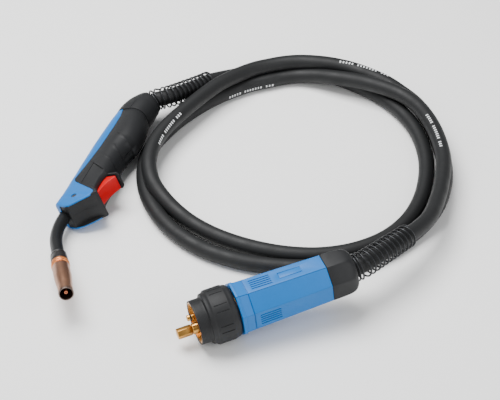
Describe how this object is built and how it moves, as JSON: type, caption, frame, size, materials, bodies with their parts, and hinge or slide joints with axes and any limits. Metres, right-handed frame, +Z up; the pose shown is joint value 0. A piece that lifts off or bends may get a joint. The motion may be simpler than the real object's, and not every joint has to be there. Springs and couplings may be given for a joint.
{
  "type": "mig welding torch",
  "caption": "Air cooled MIG welding torch: swan neck with gas nozzle, trigger handle, coiled sheathed cable with bend springs and a round machine plug with union nut.",
  "frame": {"origin": "middle of the torch end (handle, neck and nozzle) as it lies, on the surface it lies on", "axes": "+Z up, the nozzle end of the handle toward -Y, the trigger side toward +X; the coiled cable and the plug lie on the +X side"},
  "size_m": [0.3874, 0.4827, 0.0667],
  "materials": {
    "black_plastic": "fine moulded texture",
    "blue_plastic": "satin moulded",
    "red_plastic": "satin moulded",
    "rubber": "matt extruded sheath",
    "copper": "drawn and turned copper",
    "brass": "turned brass",
    "steel": "drawn wire and turned pins",
    "dark_steel": "blackened steel"
  },
  "bodies": {
    "torch": {"grip_shell_upper": "black_plastic", "grip_shell_lower": "black_plastic", "tail_cap": "black_plastic", "switch_body": "black_plastic", "nozzle_insulator": "black_plastic", "plug_cap": "black_plastic", "pilot_sleeve_a": "black_plastic", "pilot_sleeve_b": "black_plastic", "cover_upper": "blue_plastic", "cover_lower": "blue_plastic", "housing_front": "blue_plastic", "housing_back": "blue_plastic", "neck_sleeve": "rubber", "core_hose": "rubber", "cable": "rubber", "switch_lead_a": "rubber", "switch_lead_b": "rubber", "plug_core_hose": "rubber", "nipple_o_ring": "rubber", "contact_tip": "copper", "neck_tube": "brass", "neck_block": "brass", "gas_diffuser": "brass", "cover_screw_insert": "brass", "cable_ferrule": "brass", "plug_ferrule": "brass", "plug_body": "brass", "liner_nut": "brass", "gas_nipple": "brass", "trigger_pin": "steel", "nozzle_clip_spring": "steel", "cover_screw": "dark_steel", "housing_screw_a": "dark_steel", "housing_screw_b": "dark_steel", "handle_spring": "dark_steel", "plug_spring": "dark_steel"},
    "nozzle": {"gas_nozzle": "copper"},
    "trigger": {"trigger": "red_plastic"},
    "plunger": {"switch_plunger": "red_plastic"},
    "nut": {"union_nut": "black_plastic", "nut_insert": "brass"},
    "pin_a": {"pilot_pin_a": "brass"},
    "pin_b": {"pilot_pin_b": "brass"}
  },
  "joints": [
    {"name": "trigger_pivot", "type": "hinge", "parent": "torch", "child": "trigger", "pos_m": [-0.00259, -0.01412, 0.02585], "axis": [-0.3746, 0, 0.9272], "range_deg": [0, 4.5], "stiffness_Nm_per_rad": 1.2, "springref_deg": -2.86},
    {"name": "plunger_press", "type": "slide", "parent": "torch", "child": "plunger", "axis": [-0.9272, 0, -0.3746], "range_m": [0, 0.0018]},
    {"name": "nut_turn", "type": "hinge", "parent": "torch", "child": "nut", "pos_m": [0.15943, -0.15732, 0.0265], "axis": [-0.7785, -0.617, -0.115], "continuous": true},
    {"name": "pilot_a_press", "type": "slide", "parent": "torch", "child": "pin_a", "axis": [0.7785, 0.617, 0.115], "range_m": [0, 0.003], "stiffness_N_per_m": 400, "springref_m": -0.002},
    {"name": "pilot_b_press", "type": "slide", "parent": "torch", "child": "pin_b", "axis": [0.7785, 0.617, 0.115], "range_m": [0, 0.003], "stiffness_N_per_m": 400, "springref_m": -0.002},
    {"name": "nozzle_pull", "type": "slide", "parent": "torch", "child": "nozzle", "axis": [0.4775, -0.8572, 0.1929], "range_m": [0, 0.066]}
  ],
  "couplings": [
    {"joint": "plunger_press", "follows": "trigger_pivot", "m_per_rad": 0.02166}
  ]
}
